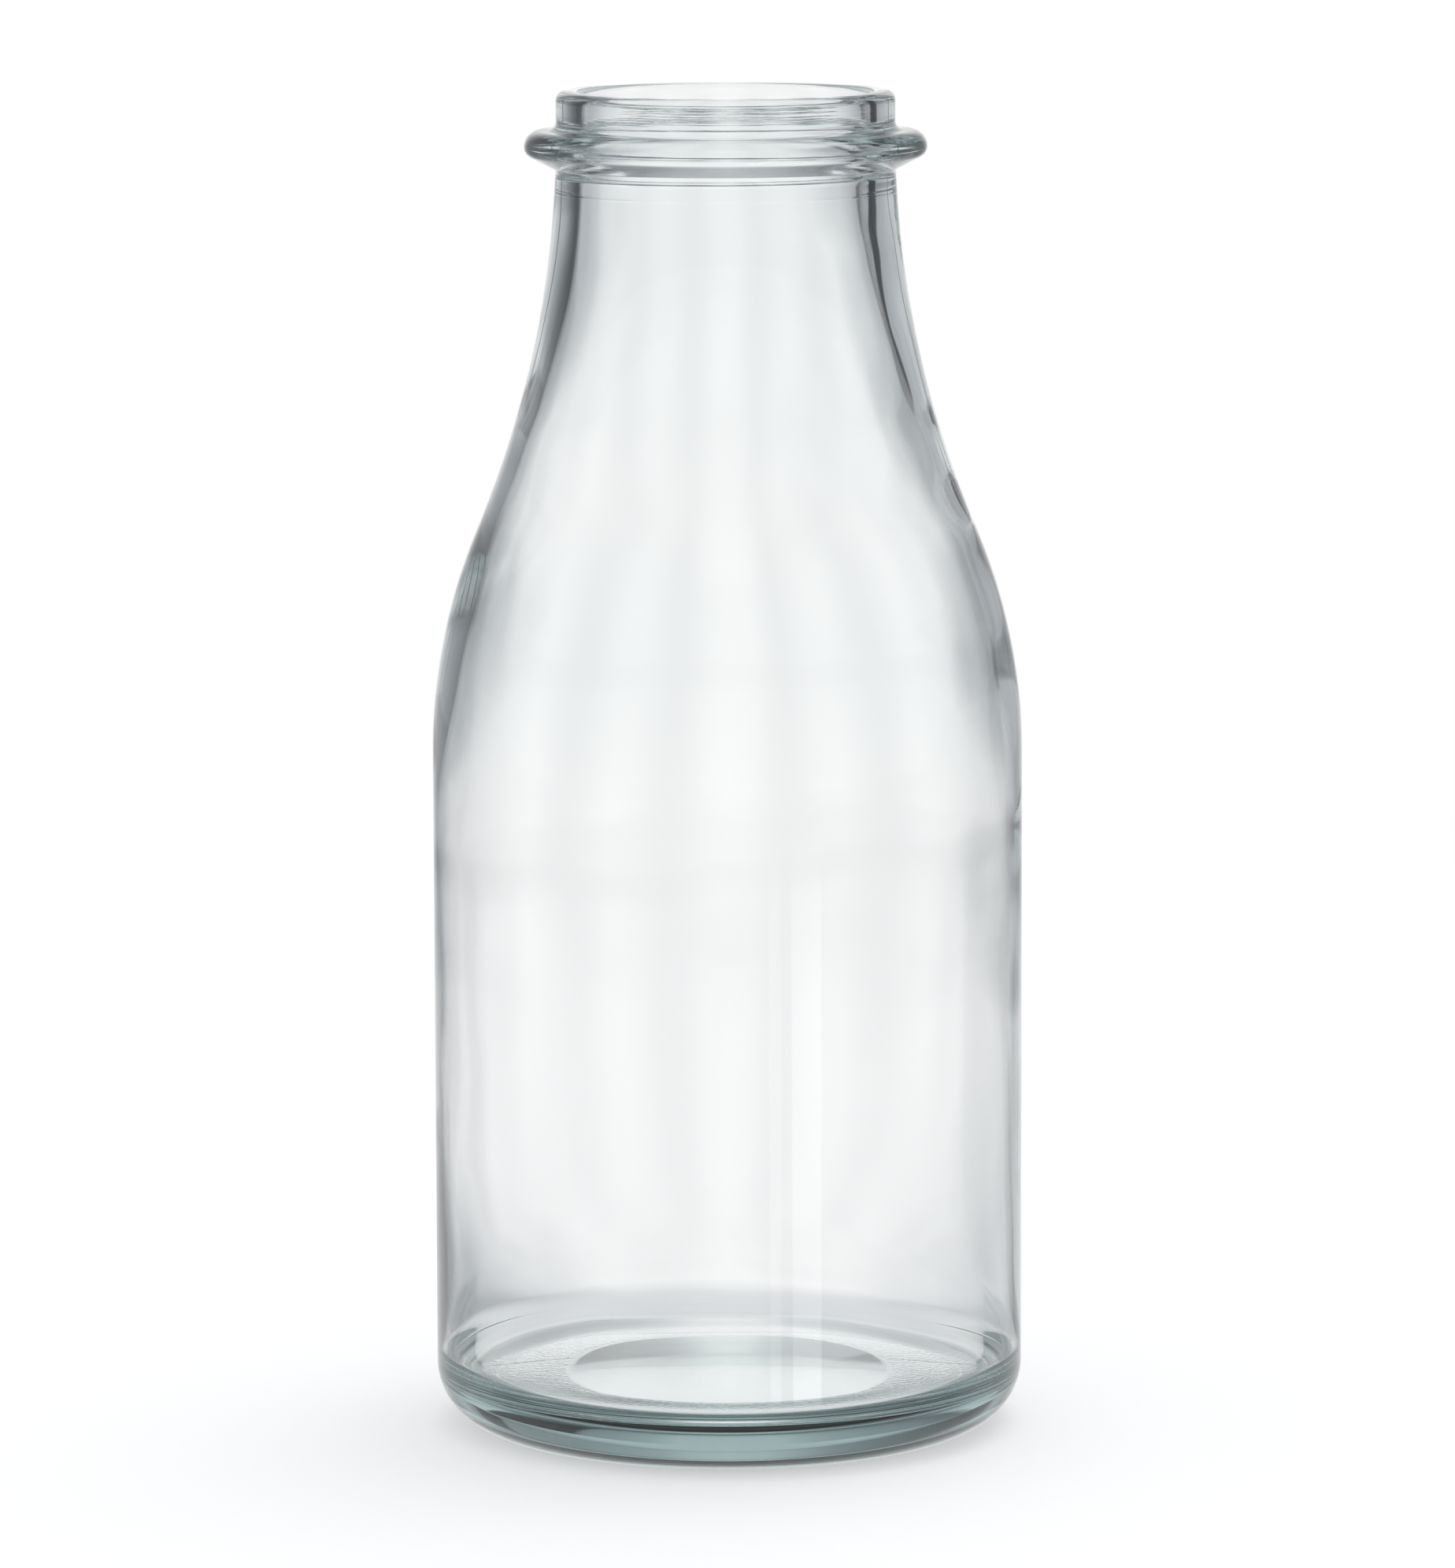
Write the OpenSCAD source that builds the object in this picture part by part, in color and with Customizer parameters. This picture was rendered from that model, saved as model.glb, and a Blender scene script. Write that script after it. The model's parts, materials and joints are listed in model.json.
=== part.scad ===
// Wide-mouth glass milk bottle: one piece of moulded glass, standing upright on the origin.
// Every profile is drawn in the XY plane (X is the radius, Y is the height) and turned about Z.

/* [Body] */
// Overall height, from the resting plane to the rim
height = 180; // [170:1:200]
// Outer diameter of the straight body
body_d = 79.2; // [74:0.2:86]
// Height at which the body starts to curve in to the shoulder
shoulder_z = 91.3; // [80:0.1:100]
// Radius of the shoulder's outward curve
shoulder_r = 77; // [60:1:100]

/* [Base] */
// Radius of the outer heel, where the body turns under
heel_r = 8.5; // [4:0.5:11]
// Diameter of the hollow under the base
punt_d = 43; // [30:1:58]
// Depth of the hollow under the base
punt_depth = 1.2; // [0.8:0.1:3]

/* [Finish] */
// Outer diameter of the wall above the bead
finish_d = 45.2; // [44:0.1:50]
// How far the bead stands out from the wall above it
bead_reach = 4.25; // [3.6:0.05:6]
// Drop from the rim to the widest line of the bead
bead_drop = 7.4; // [6.5:0.1:10]
// Radius of the bead's upper curve
bead_crown_r = 2.2; // [1.5:0.1:2.8]
// Radius of the bead's lower edge
bead_edge_r = 1.4; // [0.4:0.1:1.8]
// Slope of the bead's underside
bead_slope = 27.5; // [15:0.5:40]
// Radius of the corner between the bead and the wall above it
bead_fillet_r = 1.2; // [0.5:0.1:1.4]
// Radius of the rim's outer edge
rim_outer_r = 1.2; // [0.6:0.1:1.8]
// Radius of the rim's inner edge
rim_inner_r = 1.2; // [0.4:0.1:1.3]

/* [Inside] */
// Diameter of the mouth bore
bore_d = 38.4; // [36:0.1:39]
// Depth of the straight bore below the rim
bore_depth = 12; // [10:0.5:20]
// Thickness of the body's wall
body_wall = 1.1; // [0.8:0.1:3]
// How far below the outer shoulder the inside starts to curve in
shoulder_lead = 13.3; // [9:0.1:20]
// Radius of the shoulder's curve on the inside
inner_shoulder_r = 138; // [100:1:160]
// Height of the inner floor's middle above the resting plane
floor_z = 9; // [5:0.1:12]
// How far the inner floor's middle stands above its edge
floor_rise = 2; // [0.5:0.1:3]
// Radius of the inner heel, between the floor and the wall
inner_heel_r = 4; // [3:0.1:24]

/* [Glass] */
// Colour of the glass
glass_color = "#CFE3DE"; // color

/* [Hidden] */
$fn = 180;

// Outer outline
body_r = body_d / 2;
finish_r = finish_d / 2;
bead_r = finish_r + bead_reach;
bead_z = height - bead_drop;
bead_top_z = bead_z + bead_crown_r;

// The shoulder curves out and the neck curves back, and both end upright. The two arcs turn through the
// same angle and meet where they run in the same direction.
ogee_angle = 2 * atan((body_r - finish_r) / (bead_top_z - shoulder_z));
neck_r = (bead_top_z - shoulder_z) / sin(ogee_angle) - shoulder_r;
turn_z = shoulder_z + shoulder_r * sin(ogee_angle);

// The bead's underside is a cone that meets the bead's lower edge at a tangent
edge_x = bead_r - bead_edge_r * (1 - sin(bead_slope));
edge_z = bead_z - bead_edge_r * cos(bead_slope);
bead_root_z = edge_z - (edge_x - finish_r) * tan(bead_slope);

// Inner outline
bore_r = bore_d / 2;
inner_r = body_r - body_wall;
bore_end_z = height - bore_depth;
inner_shoulder_z = shoulder_z - shoulder_lead;
inner_angle = 2 * atan((inner_r - bore_r) / (bore_end_z - inner_shoulder_z));
inner_neck_r = (bore_end_z - inner_shoulder_z) / sin(inner_angle) - inner_shoulder_r;
inner_turn_z = inner_shoulder_z + inner_shoulder_r * sin(inner_angle);

// The inner floor is a low dome, and the heel's arc runs on past the lowest line to meet it at a tangent
heel_x = inner_r - inner_heel_r;
heel_z = floor_z - floor_rise + inner_heel_r;
dome_r = (pow(heel_x, 2) + pow(heel_z - floor_z, 2) - pow(inner_heel_r, 2)) / (2 * floor_rise);
dome_edge_x = dome_r * heel_x / (dome_r + inner_heel_r);

// The hollow under the base is a shallow cap of a sphere
punt_r = punt_d / 2;
punt_sphere_r = (pow(punt_r, 2) + pow(punt_depth, 2)) / (2 * punt_depth);

// How far a cutting shape runs past the face that it cuts
over = 1;

// A rectangle given by two opposite corners, so that neighbours share the whole edge between them
module patch(a, b) {
    polygon([[a.x, a.y], [b.x, a.y], [b.x, b.y], [a.x, b.y]]);
}

// A level slice of the outline, from the axis out to the radius r
module slice(r, z_low, z_high) {
    patch([0, z_low], [r, z_high]);
}

// A quarter disc, on the side of its centre that toward points to
module quarter(centre, r, toward) {
    intersection() {
        translate(centre) circle(r);
        patch(centre, centre + toward * (r + over));
    }
}

// A wall that turns in from the radius r_low on one arc, then runs upright again at r_high on the other
module ogee(r_low, z_low, arc_low, z_turn, r_high, z_high, arc_high) {
    intersection() {
        slice(r_low + over, z_low, z_turn);
        translate([r_low - arc_low, z_low]) circle(arc_low);
    }
    difference() {
        slice(r_low, z_turn, z_high);
        translate([r_high + arc_high, z_high]) circle(arc_high);
    }
}

module heel_profile() {
    slice(body_r - heel_r, 0, heel_r);
    quarter([body_r - heel_r, heel_r], heel_r, [1, -1]);
}

module shoulder_profile() {
    slice(body_r, heel_r, shoulder_z);
    ogee(body_r, shoulder_z, shoulder_r, turn_z, finish_r, bead_top_z, neck_r);
}

module bead_profile() {
    polygon([[0, bead_root_z], [finish_r, bead_root_z], [edge_x, edge_z], [edge_x, bead_z], [0, bead_z]]);
    intersection() {
        translate([bead_r - bead_edge_r, bead_z]) circle(bead_edge_r);
        patch([edge_x, edge_z - over], [bead_r + over, bead_z]);
    }
    slice(bead_r - bead_crown_r, bead_z, bead_top_z);
    quarter([bead_r - bead_crown_r, bead_z], bead_crown_r, [1, 1]);
}

module finish_profile() {
    fillet_centre = [finish_r + bead_fillet_r, bead_top_z + bead_fillet_r];
    rim_centre = [finish_r - rim_outer_r, height - rim_outer_r];
    difference() {
        slice(fillet_centre.x, bead_z, fillet_centre.y);
        translate(fillet_centre) circle(bead_fillet_r);
    }
    slice(finish_r, fillet_centre.y, rim_centre.y);
    slice(rim_centre.x, rim_centre.y, height);
    quarter(rim_centre, rim_outer_r, [1, 1]);
}

module punt_profile() {
    intersection() {
        patch([0, -over], [punt_r + over, punt_depth + over]);
        translate([0, punt_depth - punt_sphere_r]) circle(punt_sphere_r);
    }
}

module floor_profile() {
    difference() {
        slice(dome_edge_x, floor_z - floor_rise, heel_z);
        translate([0, floor_z - dome_r]) circle(dome_r);
    }
    intersection() {
        translate([heel_x, heel_z]) circle(inner_heel_r);
        patch([dome_edge_x, heel_z - inner_heel_r - over], [inner_r + over, heel_z]);
    }
}

module cavity_profile() {
    rim_centre = [bore_r + rim_inner_r, height - rim_inner_r];
    floor_profile();
    slice(inner_r, heel_z, inner_shoulder_z);
    ogee(inner_r, inner_shoulder_z, inner_shoulder_r, inner_turn_z, bore_r, bore_end_z, inner_neck_r);
    slice(bore_r, bore_end_z, rim_centre.y);
    difference() {
        slice(rim_centre.x, rim_centre.y, height + over);
        translate(rim_centre) circle(rim_inner_r);
    }
}

module bottle() {
    color(glass_color)
        rotate_extrude()
            difference() {
                union() {
                    heel_profile();
                    shoulder_profile();
                    bead_profile();
                    finish_profile();
                }
                punt_profile();
                cavity_profile();
            }
}

bottle();
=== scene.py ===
"""A wide-mouth glass milk bottle on a pale floor, in soft studio light."""
import json
import math

import bmesh
import bpy
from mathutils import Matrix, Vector, noise


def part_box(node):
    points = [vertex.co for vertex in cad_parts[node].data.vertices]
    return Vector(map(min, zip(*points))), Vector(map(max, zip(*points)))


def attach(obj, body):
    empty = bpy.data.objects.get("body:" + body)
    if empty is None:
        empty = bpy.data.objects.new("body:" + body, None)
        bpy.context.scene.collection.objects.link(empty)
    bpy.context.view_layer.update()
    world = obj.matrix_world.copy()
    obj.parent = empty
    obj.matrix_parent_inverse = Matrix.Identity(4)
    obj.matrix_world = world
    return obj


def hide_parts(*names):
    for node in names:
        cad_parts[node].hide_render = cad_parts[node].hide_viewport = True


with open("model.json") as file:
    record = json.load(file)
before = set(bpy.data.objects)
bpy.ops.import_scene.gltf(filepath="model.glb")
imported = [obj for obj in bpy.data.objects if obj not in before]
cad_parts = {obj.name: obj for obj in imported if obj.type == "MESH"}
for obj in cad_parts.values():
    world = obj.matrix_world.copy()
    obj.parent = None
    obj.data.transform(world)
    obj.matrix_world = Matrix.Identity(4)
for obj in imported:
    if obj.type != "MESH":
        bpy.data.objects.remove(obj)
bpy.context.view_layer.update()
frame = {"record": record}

bl_info = {
    "name": "Glass Milk Bottle",
    "version": (1, 0, 0),
    "blender": (4, 5, 0),
    "location": "3D View > Sidebar > Milk Bottle",
    "description": "Blows a glass milk bottle and sets it on a pale studio floor",
    "category": "Object",
}

MM = 0.001
LOWEST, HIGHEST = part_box("bottle")
MOUNTS = {mount["name"]: mount for mount in frame["record"]["mounts"]}


def mount_radius(name):
    """The radius of one of the bottle's round mounts, in metres."""
    return MOUNTS[name]["dims"]["r_mm"] * MM


def length(name, description, default, low=0.0):
    """A length in metres that a user may change."""
    return bpy.props.FloatProperty(
        name=name, description=description, default=default, min=low,
        unit="LENGTH", subtype="DISTANCE", precision=5,
    )


class BottleSizes(bpy.types.PropertyGroup):
    """The sizes of the glass, outside and in."""

    height: length("Height", "From the resting plane to the rim", HIGHEST.z - LOWEST.z)
    body_radius: length("Body radius", "Outer radius of the straight body", HIGHEST.x)
    shoulder_height: length("Shoulder height", "Where the body starts to curve in", 91.3 * MM)
    shoulder_arc: length("Shoulder curve", "Radius of the shoulder's outward curve", 77 * MM)
    heel_radius: length("Heel radius", "Radius of the rounded heel", 8.5 * MM)
    punt_radius: length("Hollow radius", "Radius of the hollow under the base", 21.5 * MM)
    punt_depth: length("Hollow depth", "Depth of the hollow under the base", 1.2 * MM)
    finish_radius: length("Finish radius", "Outer radius of the wall above the bead", mount_radius("finish"))
    bead_radius: length("Bead radius", "Outer radius of the bead", 26.85 * MM)
    bead_drop: length("Bead drop", "From the rim down to the bead's widest line", 7.4 * MM)
    bead_crown: length("Bead crown", "Radius of the bead's upper curve", 2.2 * MM)
    bead_edge: length("Bead edge", "Radius of the bead's lower edge", 1.4 * MM)
    bead_fillet: length("Bead fillet", "Radius of the corner above the bead", 1.2 * MM)
    bead_slope: bpy.props.FloatProperty(
        name="Bead slope", description="Slope of the bead's underside", default=math.radians(27.5),
        subtype="ANGLE",
    )
    rim_outer: length("Rim outer edge", "Rounding of the rim's outer edge", 1.2 * MM)
    rim_inner: length("Rim inner edge", "Rounding of the rim's inner edge", 1.2 * MM)
    bore_radius: length("Bore radius", "Radius of the mouth", mount_radius("mouth"))
    bore_depth: length("Bore depth", "Depth of the straight bore", 12 * MM)
    wall: length("Wall", "Thickness of the body's wall", 1.1 * MM)
    inner_shoulder_height: length("Inner shoulder height", "Where the inside starts to curve in", 78 * MM)
    inner_shoulder_arc: length("Inner shoulder curve", "Radius of the shoulder's curve inside", 138 * MM)
    floor_height: length("Floor height", "Height of the middle of the inner floor", 9 * MM)
    floor_rise: length("Floor rise", "How far the floor's middle stands above its edge", 2 * MM)
    inner_heel: length("Inner heel", "Radius between the inner floor and the wall", 4 * MM)
    neck_seam: length("Neck seam", "Height of the mould's joint round the neck", 166.6 * MM)
    heel_seam: length("Heel seam", "Height of the mould's joint round the heel", 7.6 * MM)
    wave: length("Waviness", "How far blowing leaves the inner wall out of true", 0.16 * MM)
    segments: bpy.props.IntProperty(name="Segments", description="Steps round the axis", default=240, min=24)


class GlassLook(bpy.types.PropertyGroup):
    """The colour and the finish of the glass."""

    tint: bpy.props.FloatVectorProperty(
        name="Tint", description="Colour that thick glass takes", default=(0.70, 0.78, 0.78), size=3,
        subtype="COLOR", min=0.0, max=1.0,
    )
    density: bpy.props.FloatProperty(
        name="Tint density", description="How strongly a metre of glass is tinted", default=50.0, min=0.0
    )
    ior: bpy.props.FloatProperty(name="IOR", description="Refraction of the glass", default=1.5, min=1.0)
    wave_grain: bpy.props.FloatProperty(
        name="Wave grain", description="Waves per metre of the skin", default=110.0
    )
    wave_relief: length("Wave relief", "Height of the skin's waves", 0.005 * MM)
    line_grain: bpy.props.FloatProperty(
        name="Line grain", description="Grain of the turning lines, per metre across", default=45.0
    )
    line_relief: length("Line relief", "Height of the lines on the finish", 0.012 * MM)
    stipple_grain: bpy.props.FloatProperty(
        name="Stipple grain", description="Dots per metre on the foot", default=1500.0
    )
    stipple_relief: length("Stipple relief", "Height of the dots on the foot", 0.06 * MM)
    seam_width: length("Seam width", "Half the width of a mould seam", 0.22 * MM)
    seam_relief: length("Seam relief", "Height of a mould seam", 0.03 * MM)


# ---------------------------------------------------------------- the outline


class Outline:
    """Half of the bottle's section, drawn as one chain of edges in the XZ plane."""

    def __init__(self, mesh, x, z):
        self.mesh = mesh
        self.tip = mesh.verts.new((x, 0, z))

    def line(self, x, z, steps=1):
        """Draws a straight line to a point, in equal steps."""
        move = (Vector((x, 0, z)) - self.tip.co) / steps
        for _ in range(steps):
            drawn = bmesh.ops.extrude_vert_indiv(self.mesh, verts=[self.tip])["verts"][0]
            bmesh.ops.translate(self.mesh, verts=[drawn], vec=move)
            self.tip = drawn

    def arc(self, centre, degrees, steps):
        """Turns the pen round a centre. A positive angle turns it from up towards outwards."""
        turned = bmesh.ops.spin(
            self.mesh, geom=[self.tip], cent=(centre[0], 0, centre[1]), axis=(0, 1, 0),
            angle=math.radians(degrees), steps=steps,
        )
        self.tip = next(item for item in turned["geom_last"] if isinstance(item, bmesh.types.BMVert))


def ogee(low_radius, low_height, high_radius, high_height, low_arc):
    """The angle, in degrees, and the upper radius of a two-arc curve that starts and ends upright."""
    rise = high_height - low_height
    angle = 2 * math.atan((low_radius - high_radius) / rise)
    return math.degrees(angle), rise / math.sin(angle) - low_arc


def draw_outside(pen, size):
    """Draws the outside, from the middle of the hollow under the base up to the rim's crown."""
    cap_radius = (size.punt_radius ** 2 + size.punt_depth ** 2) / (2 * size.punt_depth)
    cap_angle = math.degrees(math.asin(size.punt_radius / cap_radius))
    pen.arc((0, size.punt_depth - cap_radius), cap_angle, 24)
    foot_radius = size.body_radius - size.heel_radius
    pen.line(foot_radius, 0, 4)
    pen.arc((foot_radius, size.heel_radius), -90, 20)
    pen.line(size.body_radius, size.shoulder_height, 40)
    bead_height = size.height - size.bead_drop
    bead_top = bead_height + size.bead_crown
    angle, neck_arc = ogee(
        size.body_radius, size.shoulder_height, size.finish_radius, bead_top, size.shoulder_arc
    )
    pen.arc((size.body_radius - size.shoulder_arc, size.shoulder_height), -angle, 24)
    # The neck's curve stops where the bead's underside crosses it
    edge = Vector((
        size.bead_radius - size.bead_edge * (1 - math.sin(size.bead_slope)),
        bead_height - size.bead_edge * math.cos(size.bead_slope),
    ))
    centre_x = size.finish_radius + neck_arc
    root_z = edge.y - (edge.x - size.finish_radius - 0.1 * MM) * math.tan(size.bead_slope)
    stop = math.degrees(math.asin((bead_top - root_z) / neck_arc))
    pen.arc((centre_x, bead_top), angle - stop, 36)
    pen.line(edge.x, edge.y, 6)
    pen.arc((size.bead_radius - size.bead_edge, bead_height), math.degrees(size.bead_slope) - 90, 8)
    pen.arc((size.bead_radius - size.bead_crown, bead_height), -90, 14)
    fillet_x = size.finish_radius + size.bead_fillet
    pen.line(fillet_x, bead_top, 2)
    pen.arc((fillet_x, bead_top + size.bead_fillet), 90, 8)
    pen.line(size.finish_radius, size.height - size.rim_outer, 3)
    pen.arc((size.finish_radius - size.rim_outer, size.height - size.rim_outer), -90, 10)


def draw_inside(pen, size):
    """Draws the inside, from the rim's crown down to the middle of the floor."""
    pen.line(size.bore_radius + size.rim_inner, size.height, 2)
    pen.arc((size.bore_radius + size.rim_inner, size.height - size.rim_inner), -90, 8)
    bore_end = size.height - size.bore_depth
    inner_radius = size.body_radius - size.wall
    pen.line(size.bore_radius, bore_end, 8)
    angle, neck_arc = ogee(
        inner_radius, size.inner_shoulder_height, size.bore_radius, bore_end, size.inner_shoulder_arc
    )
    pen.arc((size.bore_radius + neck_arc, bore_end), -angle, 30)
    pen.arc((inner_radius - size.inner_shoulder_arc, size.inner_shoulder_height), angle, 44)
    # The floor is a low dome whose edge runs on into the heel
    heel_x = inner_radius - size.inner_heel
    heel_z = size.floor_height - size.floor_rise + size.inner_heel
    drop = heel_z - size.floor_height
    dome = (heel_x ** 2 + drop ** 2 - size.inner_heel ** 2) / (2 * size.floor_rise)
    lean = math.degrees(math.asin(heel_x / (dome + size.inner_heel)))
    pen.line(inner_radius, heel_z, 40)
    pen.arc((heel_x, heel_z), 90 + lean, 24)
    pen.arc((0, size.floor_height - dome), -lean, 20)


# ---------------------------------------------------------------- the uneven inside

# How far blowing has pushed the inner wall out, in millimetres, at a few heights: (height, at -X, at +X)
PUSHED_OUT = [
    (14, 0.0, 0.0), (40, 0.3, -0.3), (75, 0.3, -0.1), (86, 0.1, 0.1), (100, -0.1, -0.1),
    (109, -0.2, 0.4), (119, 0.25, 0.25), (129, 0.0, -0.7), (137, 0.45, -0.3), (148, 0.6, 0.3),
    (158, 0.4, 0.3), (166, 0.3, -0.3), (175, 0.0, 0.0),
]


def eased(rows, height, column):
    """Reads a column of rows that start with a height, easing from one row to the next."""
    if height <= rows[0][0]:
        return rows[0][column]
    for before, after in zip(rows, rows[1:]):
        if height <= after[0]:
            share = (height - before[0]) / (after[0] - before[0])
            return before[column] + (after[column] - before[column]) * share * share * (3 - 2 * share)
    return rows[-1][column]


def waver(verts, size):
    """Moves the inner wall off true, as blowing leaves it."""
    for vertex in verts:
        radial = Vector((vertex.co.x, vertex.co.y, 0))
        if radial.length < 1e-6:
            continue
        height = vertex.co.z / MM
        fade = eased([(12, 0.0), (30, 1.0), (160, 1.0), (172, 0.0)], height, 1)
        around = radial.normalized()
        broad = noise.noise(Vector((around.x * 1.3, around.y * 1.3, height / 34)))
        fine = noise.noise(Vector((around.x * 3.1 + 7, around.y * 3.1, height / 15 + 3)))
        out = size.wave * fade * (1.2 * broad + 0.7 * fine)
        towards_x = (1 + around.x) / 2
        pushed = eased(PUSHED_OUT, height, 1) * (1 - towards_x) + eased(PUSHED_OUT, height, 2) * towards_x
        vertex.co += around * (out + pushed * MM)


# ---------------------------------------------------------------- materials


def tree_of(owner):
    """Empties the node tree of a material or world and returns it."""
    owner.use_nodes = True
    owner.node_tree.nodes.clear()
    return owner.node_tree


class Nodes:
    """Adds nodes to one tree and links them, a maths step at a time."""

    def __init__(self, owner):
        self.tree = tree_of(owner)

    def add(self, kind, **settings):
        """Adds a node and sets what it does."""
        node = self.tree.nodes.new(kind)
        for name, given in settings.items():
            setattr(node, name, given)
        return node

    def feed(self, socket, given):
        """Sets a socket to a number or a colour, or links another socket to it."""
        if isinstance(given, bpy.types.NodeSocket):
            self.tree.links.new(given, socket)
        else:
            socket.default_value = given

    def feed_all(self, sockets, given):
        """Feeds the first sockets of a node, one after the other."""
        for socket, item in zip(sockets, given):
            self.feed(socket, item)

    def maths(self, operation, *given):
        """The result of one step of arithmetic."""
        node = self.add("ShaderNodeMath", operation=operation)
        self.feed_all(node.inputs, given)
        return node.outputs[0]

    def parts(self, place):
        """The X, Y and Z of a place."""
        split = self.add("ShaderNodeSeparateXYZ")
        self.feed(split.inputs[0], place)
        return split.outputs

    def level_length(self, x, y):
        """How far a place lies from the upright axis."""
        squares = self.maths("ADD", self.maths("POWER", x, 2.0), self.maths("POWER", y, 2.0))
        return self.maths("SQRT", squares)

    def blend(self, share, first, second):
        """A number between two others."""
        node = self.add("ShaderNodeMix")
        for name, item in (("Factor_Float", share), ("A_Float", first), ("B_Float", second)):
            self.feed(next(socket for socket in node.inputs if socket.identifier == name), item)
        return node.outputs[0]

    def ramp(self, given, low, high, first, second):
        """Eases from one number to another while given goes from low to high."""
        node = self.add("ShaderNodeMapRange", interpolation_type="SMOOTHSTEP")
        self.feed_all(node.inputs, (given, low, high, first, second))
        return node.outputs[0]

    def mix_shaders(self, share, first, second):
        """One shader that turns into another."""
        node = self.add("ShaderNodeMixShader")
        self.feed_all(node.inputs, (share, first, second))
        return node.outputs[0]

    def noise(self, place, stretch, scale, detail):
        """A soft random number about 0 at each place, in the object's own space."""
        spread = self.add("ShaderNodeVectorMath", operation="MULTIPLY")
        self.feed(spread.inputs[0], place)
        self.feed(spread.inputs[1], stretch)
        node = self.add("ShaderNodeTexNoise")
        self.feed(node.inputs["Vector"], spread.outputs[0])
        self.feed(node.inputs["Scale"], scale)
        self.feed(node.inputs["Detail"], detail)
        return self.maths("SUBTRACT", node.outputs[0], 0.5)

    def ridge(self, given, middle, width):
        """A round ridge, 1 high, where given is near its middle."""
        away = self.maths("ABSOLUTE", self.maths("SUBTRACT", given, middle))
        return self.ramp(away, 0.0, width, 1.0, 0.0)

    def curve(self, angle, rows):
        """Reads a level from rows of (angle in degrees, level)."""
        first, last = rows[0][0], rows[-1][0]
        node = self.add("ShaderNodeValToRGB")
        place = self.add("ShaderNodeMapRange")
        self.feed_all(place.inputs, (angle, math.radians(first), math.radians(last), 0.0, 1.0))
        self.feed(node.inputs[0], place.outputs[0])
        stops = node.color_ramp.elements
        stops.remove(stops[1])
        for degrees, level in rows:
            stop = stops[0] if degrees == first else stops.new(1.0)
            stop.position = (degrees - first) / (last - first)
            stop.color = (level, level, level, 1)
        return node.outputs[0]

    def cool(self, level):
        """The colour of the studio: white where it is bright, and a little bluer where it is dark."""
        node = self.add("ShaderNodeMix", data_type="RGBA")
        dark, bright = (0.84, 0.92, 1.0, 1), (1, 1, 1, 1)
        for name, item in (("Factor_Float", level), ("A_Color", dark), ("B_Color", bright)):
            self.feed(next(socket for socket in node.inputs if socket.identifier == name), item)
        return next(socket for socket in node.outputs if socket.identifier == "Result_Color")

    def ray_kinds(self):
        """Whether a ray was mirrored, and whether it was mirrored inside the glass, each 0 or 1."""
        path = self.add("ShaderNodeLightPath")
        mirrored = self.maths("GREATER_THAN", path.outputs["Glossy Depth"], 0.5)
        entered = self.maths("GREATER_THAN", path.outputs["Transmission Depth"], 0.5)
        return path, mirrored, self.maths("MULTIPLY", mirrored, entered)


def relief(nodes, size, look):
    """How far the skin stands out, in metres: its waves, seams, fine lines and stippled foot."""
    place = nodes.add("ShaderNodeTexCoord").outputs["Object"]
    x, y, z = nodes.parts(place)
    radius = nodes.level_length(x, y)

    waves = nodes.maths("MULTIPLY", nodes.noise(place, (1, 1, 0.6), look.wave_grain, 2), look.wave_relief)
    # The finish and its bead were turned in a ring tool, which left fine level lines
    finish_low = size.height - size.bead_drop - 3.5 * MM
    turned = nodes.ramp(z, finish_low, finish_low + 1 * MM, 0.0, look.line_relief)
    lines = nodes.maths("MULTIPLY", nodes.noise(place, (1, 1, 60), look.line_grain, 3), turned)
    # Stipple on the ring that the bottle stands on
    low = nodes.ramp(z, 0.2 * MM, 0.5 * MM, 1.0, 0.0)
    ring = nodes.ramp(radius, size.punt_radius, size.punt_radius + 0.5 * MM, 0.0, look.stipple_relief)
    foot = nodes.maths("MULTIPLY", low, ring)
    stipple = nodes.maths("MULTIPLY", nodes.noise(place, (1, 1, 1), look.stipple_grain, 2), foot)
    # The mould's joints: round the neck, round the heel, and up both sides
    outer_neck = nodes.maths("GREATER_THAN", radius, size.finish_radius - 1 * MM)
    outer_body = nodes.maths("GREATER_THAN", radius, size.body_radius - 0.5 * size.wall)
    neck_seam = nodes.maths("MULTIPLY", nodes.ridge(z, size.neck_seam, look.seam_width), outer_neck)
    heel_seam = nodes.maths("MULTIPLY", nodes.ridge(z, size.heel_seam, look.seam_width), outer_body)
    side_seam = nodes.maths("MULTIPLY", nodes.ridge(y, 0.0, look.seam_width), outer_neck)
    all_seams = nodes.maths("ADD", nodes.maths("ADD", neck_seam, heel_seam), side_seam)
    seams = nodes.maths("MULTIPLY", all_seams, look.seam_relief)
    return nodes.maths("ADD", nodes.maths("ADD", waves, lines), nodes.maths("ADD", stipple, seams))


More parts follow.
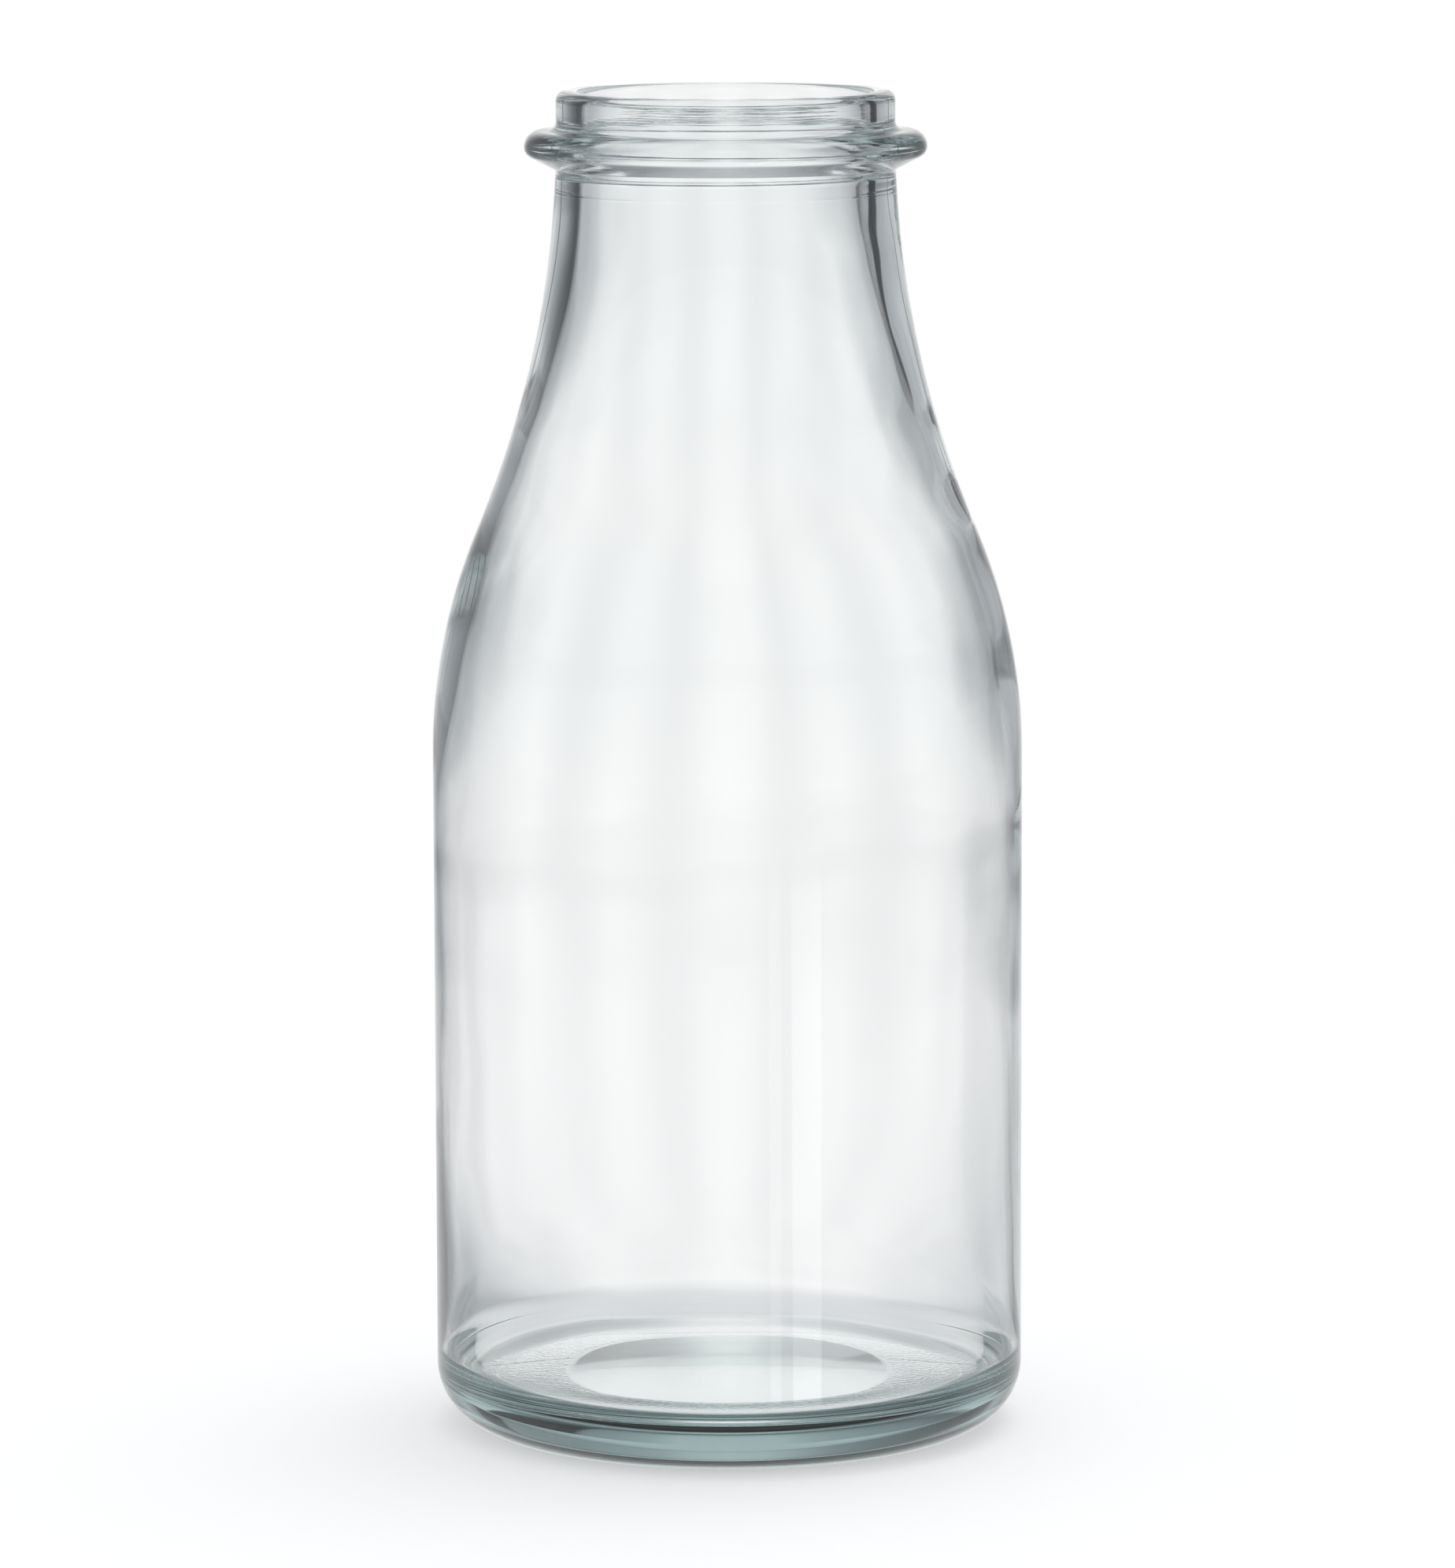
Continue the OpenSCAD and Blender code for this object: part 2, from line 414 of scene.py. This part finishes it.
def glass_material(size, look):
    """Clear moulded glass, tinted by its depth, with the mould's marks on its skin."""
    material = bpy.data.materials.new("moulded_glass")
    nodes = Nodes(material)
    output = nodes.add("ShaderNodeOutputMaterial")
    shader = nodes.add("ShaderNodeBsdfPrincipled")
    shader.inputs["Base Color"].default_value = (1, 1, 1, 1)
    shader.inputs["Roughness"].default_value = 0.0
    shader.inputs["IOR"].default_value = look.ior
    shader.inputs["Transmission Weight"].default_value = 1.0
    bump = nodes.add("ShaderNodeBump")
    bump.inputs["Strength"].default_value = 1.0
    bump.inputs["Distance"].default_value = 1.0
    nodes.feed(bump.inputs["Height"], relief(nodes, size, look))
    nodes.feed(shader.inputs["Normal"], bump.outputs["Normal"])
    nodes.feed(output.inputs["Surface"], shader.outputs["BSDF"])
    depth = nodes.add("ShaderNodeVolumeAbsorption")
    depth.inputs["Color"].default_value = (*look.tint, 1)
    depth.inputs["Density"].default_value = look.density
    nodes.feed(output.inputs["Volume"], depth.outputs["Volume"])
    return material


# ---------------------------------------------------------------- operators


def finished(mesh, name, material):
    """Turns a bmesh into a smooth object at the origin."""
    data = bpy.data.meshes.new(name)
    mesh.to_mesh(data)
    mesh.free()
    data.polygons.foreach_set("use_smooth", [True] * len(data.polygons))
    data.materials.append(material)
    piece = bpy.data.objects.new(name, data)
    bpy.context.scene.collection.objects.link(piece)
    return piece


class BOTTLE_OT_glass(bpy.types.Operator):
    """Draws the bottle's section, turns it round the axis and gives it its glass"""

    bl_idname = "milk_bottle.glass"
    bl_label = "Blow the Bottle"

    def execute(self, context):
        size = context.scene.bottle_sizes
        mesh = bmesh.new()
        mark = mesh.verts.layers.int.new("inside")
        pen = Outline(mesh, 0, size.punt_depth)
        draw_outside(pen, size)
        outer = len(mesh.verts)
        draw_inside(pen, size)
        for vertex in mesh.verts[outer:]:
            vertex[mark] = 1
        bmesh.ops.spin(
            mesh, geom=mesh.verts[:] + mesh.edges[:], cent=(0, 0, 0), axis=(0, 0, 1),
            angle=math.tau, steps=size.segments, use_merge=True,
        )
        bmesh.ops.remove_doubles(mesh, verts=mesh.verts, dist=1e-6)
        bmesh.ops.recalc_face_normals(mesh, faces=mesh.faces)
        waver([vertex for vertex in mesh.verts if vertex[mark]], size)
        bottle = finished(mesh, "bottle_glass", glass_material(size, context.scene.glass_look))
        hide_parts("bottle")
        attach(bottle, "root")
        return {"FINISHED"}


# ---------------------------------------------------------------- the studio

# How bright the room is to each side of the far backdrop, in degrees: (angle, level). Seen through the glass,
# dark cards stand on both sides of it, and the one on the right is the wider and darker.
STRAIGHT = [
    (-45, 0.8), (-40, 0.2), (-34, 0.28), (-29, 0.4), (-22, 0.52), (-16, 0.66), (-11, 0.8), (-7, 0.97),
    (0, 1.0), (7, 0.97), (11, 0.76), (16, 0.6), (20, 0.5), (21.5, 0.42), (23, 0.02), (43, 0.02), (45, 0.3),
]
# The same to each side of a backdrop at every eighth turn round the rest of the room
AROUND = [(0, 1.0), (9, 0.95), (16, 0.72), (22.5, 0.6)]
# Mirrored inside the glass, to each side of the far backdrop: in the left of the room, then in the right
MIRRORED_DARK = [(0, 1.0), (5, 0.95), (15, 0.5), (23, 0.3), (30, 0.19), (36, 0.13), (45, 0.06)]
MIRRORED_LIGHT = [
    (0, 1.0), (5, 0.95), (10, 0.72), (23, 0.48), (36, 0.42), (39, 0.4), (41, 0.01), (45, 0.01),
]
# Mirrored on the outside, to each side of a backdrop at every quarter turn
MIRRORED_OUTSIDE = [(0, 1.0), (10, 0.98), (18, 0.7), (25, 0.5), (34, 0.55), (45, 0.75)]
# Painted shade on the near floor to each side, seen through the glass, by its own angle from the bottle
NEAR_SIDES = [
    (-45, 0.3), (-38, 0.33), (-31, 0.4), (-27, 0.5), (-23, 0.68), (-18, 0.85), (-12, 0.97), (0, 1.0),
    (12, 0.97), (18, 0.88), (23, 0.76), (28, 0.66), (35, 0.6), (45, 0.6),
]


class Room:
    """How bright the room is in the level direction that a place lies in, for each kind of ray.

    straight and near_sides are what the glass shows straight through it, inside is what it mirrors within,
    and outside is what its skin mirrors. off is the angle from the nearest of the four backdrops.
    """

    def __init__(self, nodes, place, studio):
        x, y, self.height = nodes.parts(place)
        turn = nodes.maths("ARCTAN2", x, y)
        aside = nodes.maths("ABSOLUTE", turn)
        behind = nodes.ramp(aside, math.radians(44), math.radians(46), 0.0, 1.0)
        around = nodes.curve(nodes.maths("PINGPONG", aside, math.radians(22.5)), AROUND)
        seen = nodes.blend(behind, nodes.curve(turn, STRAIGHT), around)
        self.straight = nodes.maths("MULTIPLY", seen, studio.backdrop)
        self.near_sides = nodes.blend(behind, nodes.curve(turn, NEAR_SIDES), 0.96)
        self.off = nodes.maths("PINGPONG", aside, math.radians(45))
        side = nodes.maths("DIVIDE", x, nodes.maths("MAXIMUM", nodes.level_length(x, y), 0.001))
        dark, light = nodes.curve(self.off, MIRRORED_DARK), nodes.curve(self.off, MIRRORED_LIGHT)
        cards = nodes.blend(nodes.ramp(side, -0.3, 0.3, 0.0, 1.0), dark, light)
        beyond = nodes.ramp(aside, math.radians(52), math.radians(60), 0.0, 1.0)
        self.inside = nodes.blend(beyond, cards, nodes.maths("POWER", around, 2.0))
        self.outside = nodes.curve(self.off, MIRRORED_OUTSIDE)


# How high, as the upright part of a ray's direction, the ceiling begins and the soft boxes hang
CEILING_BEGINS = (0.35, 0.8)
SOFT_BOX_HEIGHT = 0.66
SOFT_BOX_REACH = 0.16


def world_light(studio):
    """A white room, in which the glass shows darker cards to the sides and a darker ceiling."""
    world = bpy.data.worlds.new("studio")
    bpy.context.scene.world = world
    nodes = Nodes(world)
    output = nodes.add("ShaderNodeOutputWorld")
    background = nodes.add("ShaderNodeBackground")
    nodes.feed(output.inputs["Surface"], background.outputs[0])
    path, mirrored, inside = nodes.ray_kinds()
    place = nodes.add("ShaderNodeTexCoord")
    room = Room(nodes, place.outputs["Generated"], studio)
    overhead = nodes.ramp(room.height, *CEILING_BEGINS, 0.0, 1.0)
    # A soft box adds its light high over each backdrop, and only the outside of the glass mirrors it
    facing = nodes.ramp(room.off, math.radians(12), math.radians(20), studio.softbox, 0.0)
    box = nodes.maths("MULTIPLY", nodes.ridge(room.height, SOFT_BOX_HEIGHT, SOFT_BOX_REACH), facing)
    outer = nodes.maths("ADD", nodes.blend(overhead, room.outside, studio.ceiling), box)
    through = nodes.blend(overhead, room.straight, studio.ceiling)
    level = nodes.blend(path.outputs["Is Camera Ray"], through, 1.0)
    level = nodes.blend(mirrored, level, outer)
    level = nodes.blend(inside, level, nodes.blend(overhead, room.inside, studio.ceiling))
    level = nodes.blend(path.outputs["Is Diffuse Ray"], level, studio.fill)
    nodes.feed(background.inputs["Color"], nodes.cool(level))
    nodes.feed(background.inputs["Strength"], level)


# Where the two painted reflections of a tall window show on the body, as shares of its radius: (from, to,
# brightness)
WINDOW = [(0.137, 0.177, 0.6), (0.212, 0.312, 1.0)]
# How strongly the painted glow shines from the floor close to the bottle and farther away
WINDOW_NEAR, WINDOW_FAR = 2.6, 1.1


def painted_window_glow(nodes, place, radius):
    """A painted glow on the floor, in the wedges that a round body mirrors as upright strips: the painted
    reflection of a tall pane of light.
    """
    x, y, _ = nodes.parts(place)

    def right_of(share):
        """How far a place lies to the right of the line that the skin mirrors at a share of its radius."""
        turn = math.asin(share)
        across = nodes.maths("MULTIPLY", x, math.cos(2 * turn))
        along = nodes.maths("MULTIPLY", y, math.sin(2 * turn))
        return nodes.maths("ADD", nodes.maths("ADD", across, along), radius * share)

    near = nodes.ramp(nodes.maths("ABSOLUTE", y), 0.06, 0.16, WINDOW_NEAR, WINDOW_FAR)
    total = 0.0
    for first, last, brightness in WINDOW:
        begun = nodes.ramp(right_of(first), 0.0, 0.8 * MM, 0.0, brightness)
        ended = nodes.ramp(right_of(last), -0.8 * MM, 0.0, 1.0, 0.0)
        total = nodes.maths("ADD", total, nodes.maths("MULTIPLY", begun, ended))
    return nodes.maths("MULTIPLY", total, near)


FLOOR_RADIUS = 3.0
# Where on the floor one zone gives way to the next, in metres from the bottle's axis: (from, to)
UNDER_FOOT_ENDS = (0.0285, 0.0315)
FOOT_SHADE_ENDS = (0.052, 0.09)
SIDES_BEGIN, SIDES_END = (0.045, 0.08), (0.15, 0.3)
FAR_FLOOR_BEGINS = (0.3, 0.6)
BACKDROP_BEGINS = (0.42, 0.6)
WINDOW_BEGINS, WINDOW_ENDS = (0.078, 0.088), (0.45, 0.65)
BELT_BEGINS, BELT_ENDS = (0.36, 0.44), (0.7, 1.3)
BELT_SHADE = 0.6


def floor_material(studio, radius):
    """A pale matt floor that shows as white, with the object's shadow on it. Seen in the glass, it glows with
    painted light and shade instead.
    """
    material = bpy.data.materials.new("pale_floor")
    nodes = Nodes(material)
    output = nodes.add("ShaderNodeOutputMaterial")
    path, mirrored, inside = nodes.ray_kinds()
    place = nodes.add("ShaderNodeTexCoord")
    distance = nodes.add("ShaderNodeVectorMath", operation="LENGTH")
    nodes.feed(distance.inputs[0], place.outputs["Object"])
    away = distance.outputs["Value"]

    matt = nodes.add("ShaderNodeBsdfPrincipled")
    matt.inputs["Base Color"].default_value = (0.9, 0.9, 0.9, 1)
    matt.inputs["Roughness"].default_value = 1.0
    matt.inputs["Specular IOR Level"].default_value = 0.0
    matt.inputs["Emission Color"].default_value = (1, 1, 1, 1)
    matt.inputs["Emission Strength"].default_value = studio.lift
    backdrop = nodes.add("ShaderNodeEmission")
    backdrop.inputs["Strength"].default_value = 1.0
    outlying = nodes.ramp(away, *BACKDROP_BEGINS, 0.0, 1.0)
    seen = nodes.mix_shaders(outlying, matt.outputs[0], backdrop.outputs[0])

    room = Room(nodes, place.outputs["Object"], studio)
    # The edge of the far floor wavers a little
    drift = nodes.maths("MULTIPLY", nodes.noise(place.outputs["Object"], (1, 1, 1), 9.0, 3), 0.25)
    far = nodes.ramp(nodes.maths("ADD", away, drift), *FAR_FLOOR_BEGINS, 0.0, 1.0)
    # Round the foot the floor lies in shade, and under the foot it is bright
    clear = nodes.ramp(away, *FOOT_SHADE_ENDS, 0.0, 1.0)
    shade = nodes.blend(clear, studio.foot_shade, studio.seen_through)
    # Painted shade on the near floor to the sides, seen only through the glass
    sides = nodes.blend(nodes.ramp(away, *SIDES_END, 1.0, 0.0), 1.0, room.near_sides)
    sides = nodes.blend(nodes.ramp(away, *SIDES_BEGIN, 0.0, 1.0), 1.0, sides)
    beside = nodes.maths("MULTIPLY", shade, sides)
    near = nodes.blend(nodes.ramp(away, *UNDER_FOOT_ENDS, 0.0, 1.0), studio.under_foot, beside)
    # Farther off, the floor seen through the glass takes the room's levels: painted shade where the dark
    # cards stand
    through = nodes.blend(far, near, room.straight)
    # Painted reflection: near the bottle the floor glows in wedges, seen only in what the glass mirrors, so
    # the body shows a tall window's strips
    reach = nodes.ramp(away, *WINDOW_ENDS, 1.0, 0.0)
    foot = nodes.ramp(away, *WINDOW_BEGINS, 0.0, 1.0)
    glow_mask = nodes.maths("MULTIPLY", reach, foot)
    strips = nodes.maths("MULTIPLY", painted_window_glow(nodes, place.outputs["Object"], radius), glow_mask)
    outer = nodes.maths("ADD", strips, nodes.blend(far, studio.mirrored_floor, room.outside))
    # Painted shade: a darker belt of floor, seen only in what the glass mirrors inside, darkens the edges of
    # the body
    fading = nodes.ramp(away, *BELT_ENDS, BELT_SHADE, 0.0)
    painted_shade_belt = nodes.maths("MULTIPLY", nodes.ramp(away, *BELT_BEGINS, 0.0, 1.0), fading)
    inner = nodes.maths("MULTIPLY", room.inside, nodes.maths("SUBTRACT", 1.0, painted_shade_belt))
    level = nodes.blend(mirrored, through, outer)
    level = nodes.blend(inside, level, inner)
    level = nodes.blend(path.outputs["Is Diffuse Ray"], level, studio.fill)
    # Seen in the glass, the floor glows at these painted levels of light and shade in place of its lit colour
    glow = nodes.add("ShaderNodeEmission")
    nodes.feed(glow.inputs["Color"], nodes.cool(level))
    nodes.feed(glow.inputs["Strength"], level)
    shown = nodes.mix_shaders(path.outputs["Is Camera Ray"], glow.outputs[0], seen)
    nodes.feed(output.inputs["Surface"], shown)
    return material


class StudioLight(bpy.types.PropertyGroup):
    """How bright each part of the studio is, where 1 is white."""

    fill: bpy.props.FloatProperty(name="Fill", description="Light from all round", default=0.6)
    sun: bpy.props.FloatProperty(name="Key", description="Strength of the soft lamp", default=0.5)
    lift: bpy.props.FloatProperty(
        name="Floor lift", description="Glow that makes the floor white", default=0.4
    )
    seen_through: bpy.props.FloatProperty(
        name="Floor through glass", description="Brightness of the near floor, seen through glass",
        default=0.975,
    )
    foot_shade: bpy.props.FloatProperty(
        name="Shade round the foot", description="Brightness of the floor beside the foot, through glass",
        default=0.8,
    )
    under_foot: bpy.props.FloatProperty(
        name="Floor under the foot", description="Brightness of the floor under the bottle, through glass",
        default=1.0,
    )
    mirrored_floor: bpy.props.FloatProperty(
        name="Mirrored floor", description="Brightness of the floor, mirrored on the glass", default=0.9
    )
    ceiling: bpy.props.FloatProperty(
        name="Ceiling", description="Brightness overhead, in the glass", default=0.25
    )
    softbox: bpy.props.FloatProperty(
        name="Soft box", description="What the high soft boxes add, mirrored on the glass", default=1.0
    )
    backdrop: bpy.props.FloatProperty(
        name="Backdrop", description="Brightness of the white backdrops, through glass", default=1.0
    )


CAMERA_PLACE = (0, -1.07278, 0.23722)
# Down from level, rolled, and turned aside
CAMERA_TURN = (math.radians(90 - 7.976), math.radians(0.17), math.radians(-0.0236))
CAMERA_LENS = 184.86
LAMP_PLACE = Vector((0.3, 0.4, 1.3))
LAMP_AIM = Vector((0, 0, 0.05))
# Light crosses the thick base many times, and the usual number of bounces would cut it short
BOUNCES, MIRROR_BOUNCES = 24, 16


class BOTTLE_OT_stage(bpy.types.Operator):
    """Lays the pale floor, hangs the lamps and places the camera"""

    bl_idname = "milk_bottle.stage"
    bl_label = "Set the Stage"

    def execute(self, context):
        scene = context.scene
        mesh = bmesh.new()
        bmesh.ops.create_circle(mesh, cap_ends=True, radius=FLOOR_RADIUS, segments=96)
        studio = scene.studio_light
        floor = finished(mesh, "floor", floor_material(studio, scene.bottle_sizes.body_radius))
        world_light(studio)
        lamp_data = bpy.data.lights.new("softbox", "SUN")
        lamp_data.angle = math.radians(50)
        lamp_data.energy = studio.sun
        lamp = bpy.data.objects.new("softbox", lamp_data)
        lamp.location = LAMP_PLACE
        lamp.rotation_euler = (LAMP_AIM - LAMP_PLACE).to_track_quat("-Z", "Y").to_euler()
        lamp.visible_camera = lamp.visible_glossy = lamp.visible_transmission = False
        scene.collection.objects.link(lamp)
        camera_data = bpy.data.cameras.new("camera")
        camera_data.sensor_width = 36
        camera_data.lens = CAMERA_LENS
        camera_data.clip_start = 0.05
        camera_data.clip_end = 50
        camera = bpy.data.objects.new("camera", camera_data)
        camera.location = CAMERA_PLACE
        camera.rotation_euler = CAMERA_TURN
        scene.collection.objects.link(camera)
        scene.camera = camera
        scene.view_settings.view_transform = "Standard"
        scene.cycles.max_bounces = scene.cycles.transmission_bounces = BOUNCES
        scene.cycles.glossy_bounces = MIRROR_BOUNCES
        return {"FINISHED"}


class BOTTLE_PT_panel(bpy.types.Panel):
    """Lists the steps that build the bottle"""

    bl_idname = "BOTTLE_PT_panel"
    bl_label = "Milk Bottle"
    bl_space_type = "VIEW_3D"
    bl_region_type = "UI"
    bl_category = "Milk Bottle"

    def draw(self, context):
        self.layout.operator(BOTTLE_OT_glass.bl_idname)
        self.layout.operator(BOTTLE_OT_stage.bl_idname)


CLASSES = (BottleSizes, GlassLook, StudioLight, BOTTLE_OT_glass, BOTTLE_OT_stage, BOTTLE_PT_panel)


def register():
    for cls in CLASSES:
        bpy.utils.register_class(cls)
    bpy.types.Scene.bottle_sizes = bpy.props.PointerProperty(type=BottleSizes)
    bpy.types.Scene.glass_look = bpy.props.PointerProperty(type=GlassLook)
    bpy.types.Scene.studio_light = bpy.props.PointerProperty(type=StudioLight)


def unregister():
    del bpy.types.Scene.studio_light
    del bpy.types.Scene.glass_look
    del bpy.types.Scene.bottle_sizes
    for cls in reversed(CLASSES):
        bpy.utils.unregister_class(cls)


def main():
    register()
    bpy.ops.milk_bottle.stage()
    bpy.ops.milk_bottle.glass()


if __name__ == "__main__":
    main()
